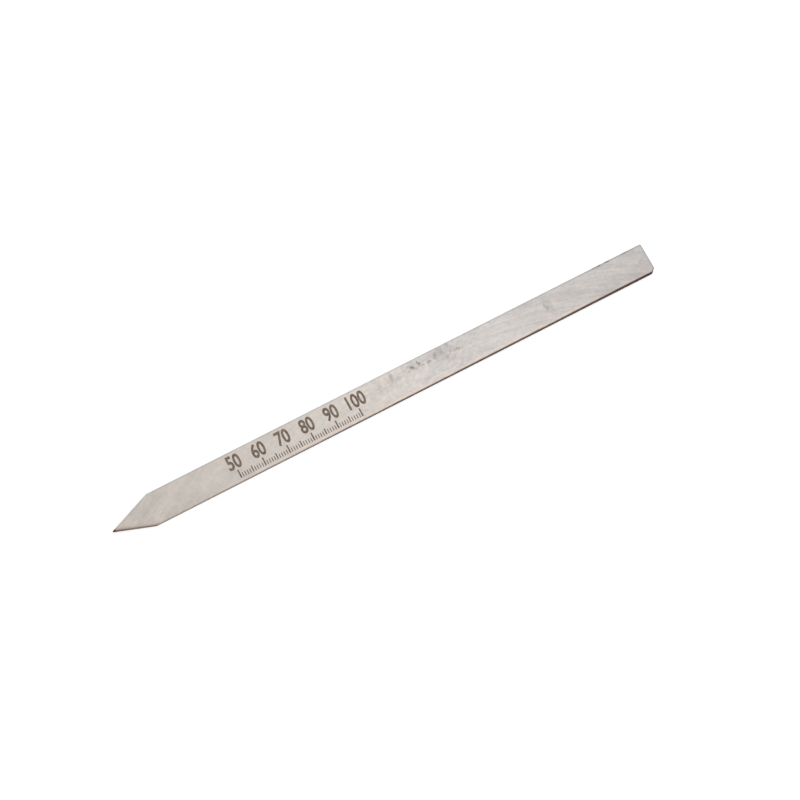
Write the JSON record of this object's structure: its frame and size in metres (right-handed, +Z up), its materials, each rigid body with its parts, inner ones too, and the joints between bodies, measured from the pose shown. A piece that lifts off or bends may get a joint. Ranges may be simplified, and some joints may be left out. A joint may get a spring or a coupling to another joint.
{
  "type": "parting tool blade",
  "caption": "Thin flat steel bar, square at the butt, with two bevels ground to a cutting edge across its thickness, for parting off turned wood.",
  "frame": {"origin": "on the surface the blade lies on, under the middle of its length and width", "axes": "+X runs along the blade from the cutting edge to the butt, +Y across the blade, +Z up through its thickness"},
  "size_m": [0.225, 0.012, 0.002],
  "materials": {
    "ground_steel": "surface ground in long arcs, satin, with darker narrow edges and an etched depth scale on one side"
  },
  "bodies": {
    "root": {"blade": "ground_steel"}
  },
  "joints": []
}
